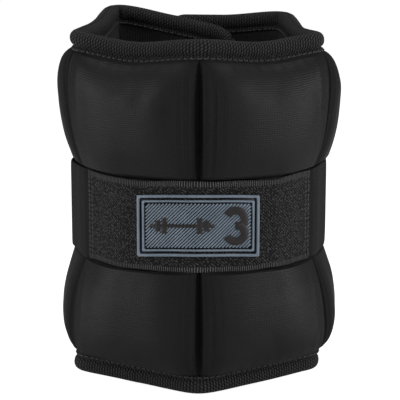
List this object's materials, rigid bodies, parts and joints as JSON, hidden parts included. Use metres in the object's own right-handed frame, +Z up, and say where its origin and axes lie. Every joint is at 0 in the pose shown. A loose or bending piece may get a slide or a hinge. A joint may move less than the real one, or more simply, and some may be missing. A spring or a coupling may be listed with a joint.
{
  "type": "ankle cuff weight",
  "caption": "Padded wrap-round cuff of weighted neoprene pockets with a hook-and-loop strap round its waist.",
  "frame": {"origin": "on the ground below the middle of the shut cuff", "axes": "+Z up the leg, -Y towards the labelled front, +X to the viewer's right when facing the front"},
  "size_m": [0.1648, 0.1458, 0.196],
  "materials": {
    "neoprene": "matte",
    "liner_knit": "matte",
    "binding": "matte",
    "strap_loop": "matte",
    "strap_webbing": "satin",
    "bag_nylon": "satin",
    "iron_grit": "matte",
    "label_navy": "satin",
    "label_blue_grey": "satin",
    "label_dark": "satin",
    "hook_tape": "matte",
    "pull_rubber": "satin"
  },
  "bodies": {
    "outer_back": {"outer_back_liner_panel": "liner_knit", "outer_back_pocket_cover": "neoprene", "outer_back_weight_bag": "bag_nylon", "outer_back_iron_fill": "iron_grit", "outer_back_top_binding": "binding", "outer_back_bottom_binding": "binding", "outer_back_strap": "strap_webbing", "outer_back_end_binding": "binding"},
    "right_side": {"right_side_liner_panel": "liner_knit", "right_side_pocket_cover": "neoprene", "right_side_weight_bag": "bag_nylon", "right_side_iron_fill": "iron_grit", "right_side_top_binding": "binding", "right_side_bottom_binding": "binding", "right_side_strap": "strap_webbing"},
    "front_right": {"front_right_liner_panel": "liner_knit", "front_right_pocket_cover": "neoprene", "front_right_weight_bag": "bag_nylon", "front_right_iron_fill": "iron_grit", "front_right_top_binding": "binding", "front_right_bottom_binding": "binding", "front_right_strap": "strap_loop", "front_right_label_base": "label_navy", "front_right_label_frame": "label_blue_grey", "label_numeral": "label_dark"},
    "front_left": {"front_left_liner_panel": "liner_knit", "front_left_pocket_cover": "neoprene", "front_left_weight_bag": "bag_nylon", "front_left_iron_fill": "iron_grit", "front_left_top_binding": "binding", "front_left_bottom_binding": "binding", "front_left_strap": "strap_loop", "front_left_label_base": "label_navy", "front_left_label_frame": "label_blue_grey", "label_emblem": "label_dark"},
    "left_side": {"left_side_liner_panel": "liner_knit", "left_side_pocket_cover": "neoprene", "left_side_weight_bag": "bag_nylon", "left_side_iron_fill": "iron_grit", "left_side_top_binding": "binding", "left_side_bottom_binding": "binding", "left_side_strap": "strap_webbing"},
    "inner_back": {"inner_back_liner_panel": "liner_knit", "inner_back_pocket_cover": "neoprene", "inner_back_weight_bag": "bag_nylon", "inner_back_iron_fill": "iron_grit", "inner_back_top_binding": "binding", "inner_back_bottom_binding": "binding", "inner_back_strap": "strap_webbing", "inner_back_end_binding": "binding"},
    "tail_root": {"strap_tail_root": "strap_webbing"},
    "tail_tip": {"strap_tail_tip": "strap_webbing", "hook_pad": "hook_tape", "pull_tab": "pull_rubber"}
  },
  "joints": [
    {"name": "wrap_opening", "type": "hinge", "parent": "front_right", "child": "right_side", "pos_m": [0.06707, -0.02795, 0.098], "axis": [0, 0, -1], "range_deg": [0, 79]},
    {"name": "centre_front_fold", "type": "hinge", "parent": "front_left", "child": "front_right", "pos_m": [0, -0.05922, 0.098], "axis": [0, 0, -1], "range_deg": [0, 19]},
    {"name": "right_back_fold", "type": "hinge", "parent": "right_side", "child": "outer_back", "pos_m": [0.04917, 0.04386, 0.098], "axis": [0, 0, -1], "range_deg": [0, 60]},
    {"name": "left_front_fold", "type": "hinge", "parent": "front_left", "child": "left_side", "pos_m": [-0.06707, -0.02795, 0.098], "axis": [0, 0, 1], "range_deg": [0, 40]},
    {"name": "left_back_fold", "type": "hinge", "parent": "left_side", "child": "inner_back", "pos_m": [-0.04917, 0.04386, 0.098], "axis": [0, 0, 1], "range_deg": [0, 75]},
    {"name": "tail_root_fold", "type": "hinge", "parent": "outer_back", "child": "tail_root", "pos_m": [-0.02147, 0.07035, 0.098], "axis": [0, 0, -1], "range_deg": [0, 47.35]},
    {"name": "tail_peel", "type": "hinge", "parent": "tail_root", "child": "tail_tip", "pos_m": [-0.06517, 0.04372, 0.098], "axis": [0, 0, -1], "range_deg": [0, 110]}
  ],
  "couplings": [
    {"joint": "centre_front_fold", "follows": "wrap_opening", "ratio": 0.2405},
    {"joint": "right_back_fold", "follows": "wrap_opening", "ratio": 0.7594},
    {"joint": "left_front_fold", "follows": "wrap_opening", "ratio": 0.5063},
    {"joint": "left_back_fold", "follows": "wrap_opening", "ratio": 0.9493},
    {"joint": "tail_root_fold", "follows": "wrap_opening", "ratio": 0.5993}
  ]
}
